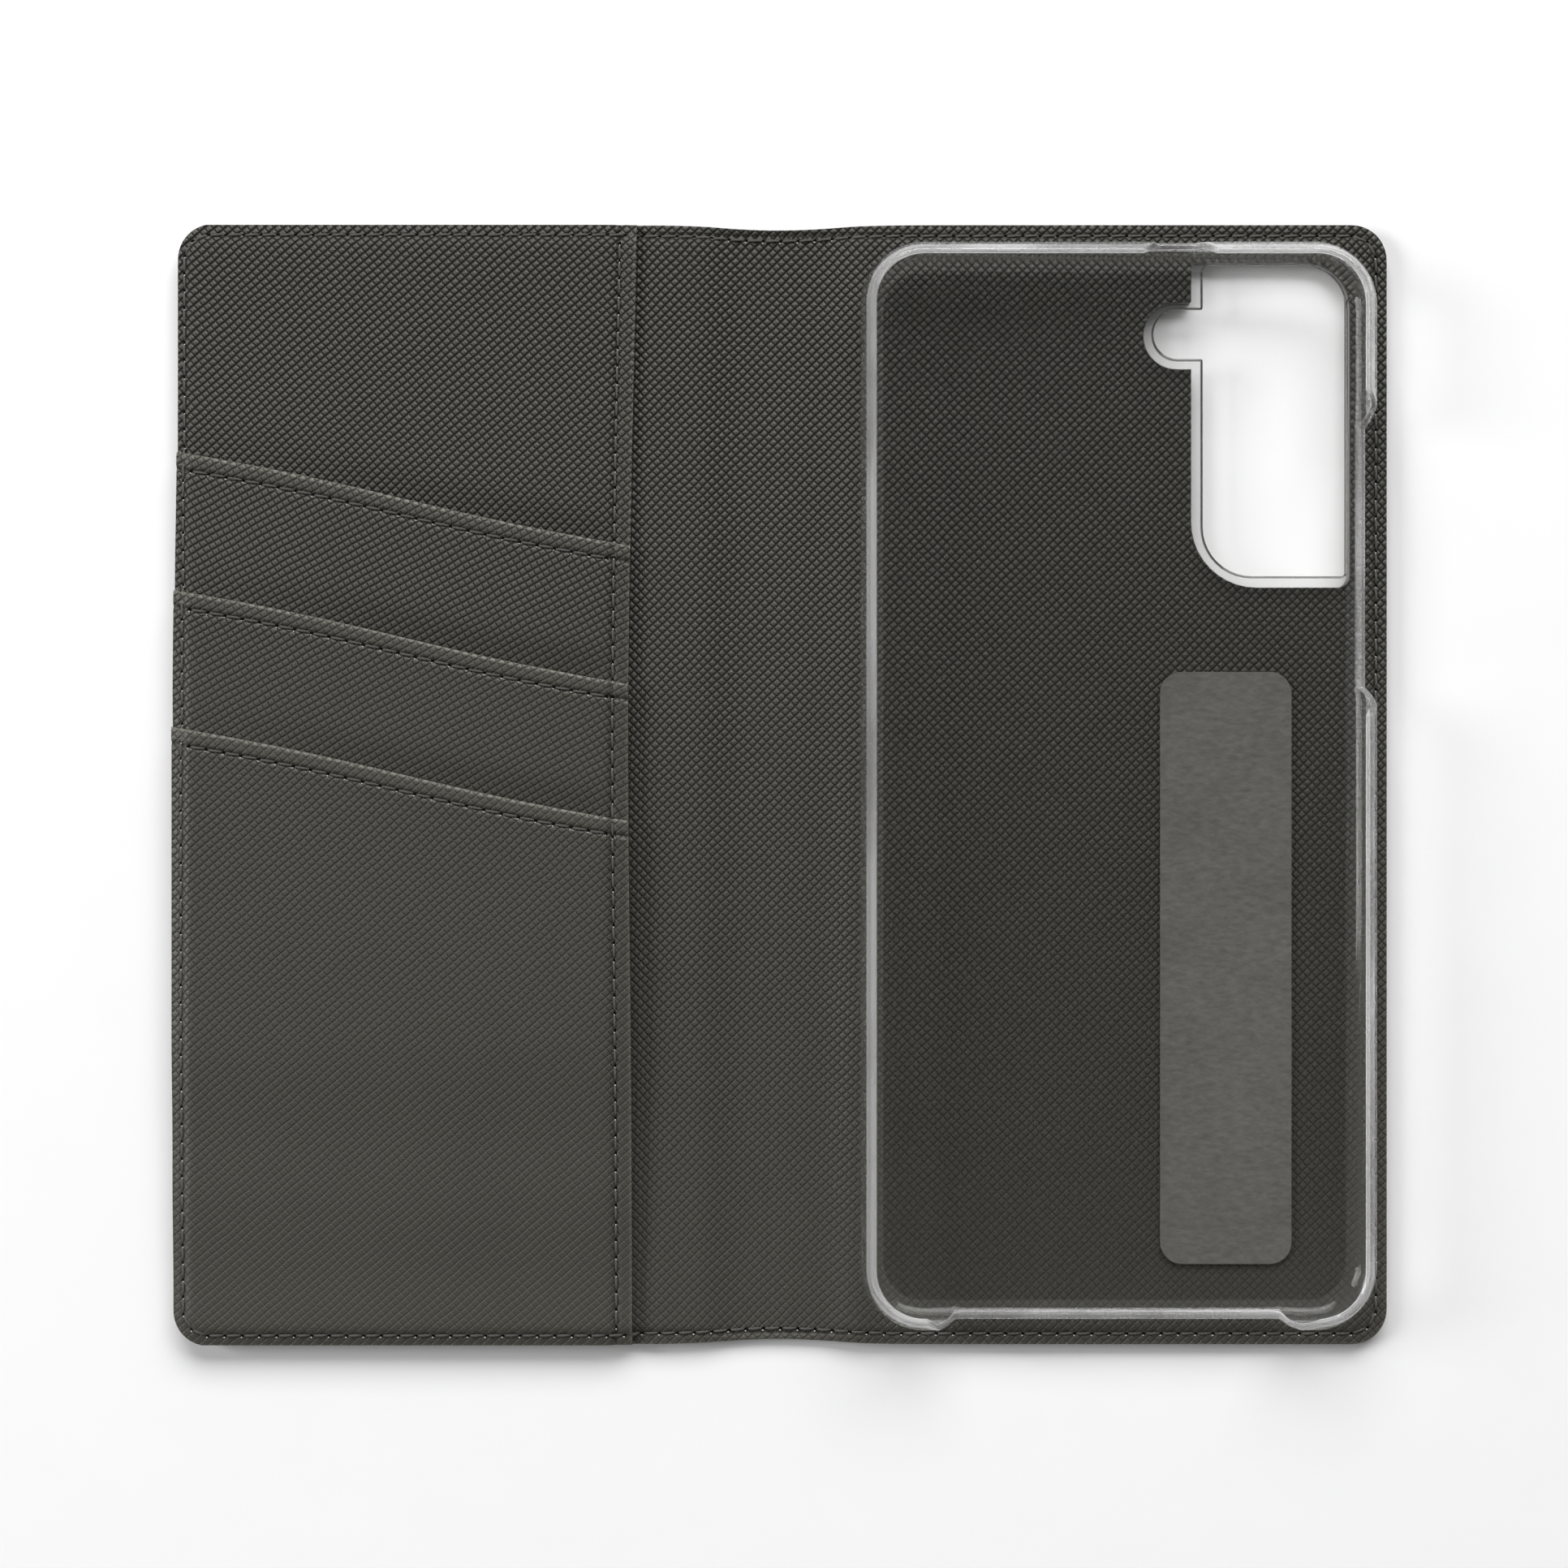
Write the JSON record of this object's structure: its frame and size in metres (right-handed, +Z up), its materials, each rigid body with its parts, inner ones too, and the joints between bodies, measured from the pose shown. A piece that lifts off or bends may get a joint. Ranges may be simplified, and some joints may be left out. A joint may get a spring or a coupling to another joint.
{
  "type": "phone wallet case",
  "caption": "Book-style leather phone case lying open: clear snap-in phone shell on the back cover, slanted card pockets and a cash pocket on the front cover, joined by a soft folding spine.",
  "frame": {"origin": "under the middle of the open case, on the surface it lies on", "axes": "+X from the front cover towards the back cover, +Y towards the phone's top, +Z up out of the inside of the open case"},
  "size_m": [0.1852, 0.1706, 0.0134],
  "materials": {
    "outer_leather": "cross-hatched pressed grain, satin, dark olive grey",
    "lining_leather": "cross-hatched pressed grain, satin, dark olive grey",
    "stiffener_board": "pressed grey paper board, matt",
    "thread": "bonded polyester sewing thread, dark grey",
    "bonding_pad": "matt fibrous pad, mid grey",
    "clear_polycarbonate": "clear, polished"
  },
  "bodies": {
    "back_cover": {"back_outer_leather": "outer_leather", "back_board": "stiffener_board", "back_lining": "lining_leather", "back_edge_stitching": "thread", "bond_pad": "bonding_pad", "clear_shell": "clear_polycarbonate"},
    "spine": {"spine_outer_leather": "outer_leather", "spine_lining": "lining_leather", "spine_stitching_upper": "thread", "spine_stitching_lower": "thread"},
    "front_cover": {"front_outer_leather": "outer_leather", "front_board": "stiffener_board", "front_lining": "lining_leather", "cash_pocket_panel": "lining_leather", "card_pocket_top": "lining_leather", "card_pocket_middle": "lining_leather", "card_pocket_bottom": "lining_leather", "hem_stitching_top": "thread", "hem_stitching_middle": "thread", "hem_stitching_bottom": "thread", "pocket_side_stitching": "thread", "front_edge_stitching": "thread"}
  },
  "joints": [
    {"name": "back_fold", "type": "hinge", "parent": "back_cover", "child": "spine", "pos_m": [0.00954, 0, 0.00085], "axis": [0, 1, 0], "range_deg": [-90, 90]},
    {"name": "front_fold", "type": "hinge", "parent": "spine", "child": "front_cover", "pos_m": [-0.00954, 0, 0.00085], "axis": [0, 1, 0], "range_deg": [-90, 90]}
  ]
}
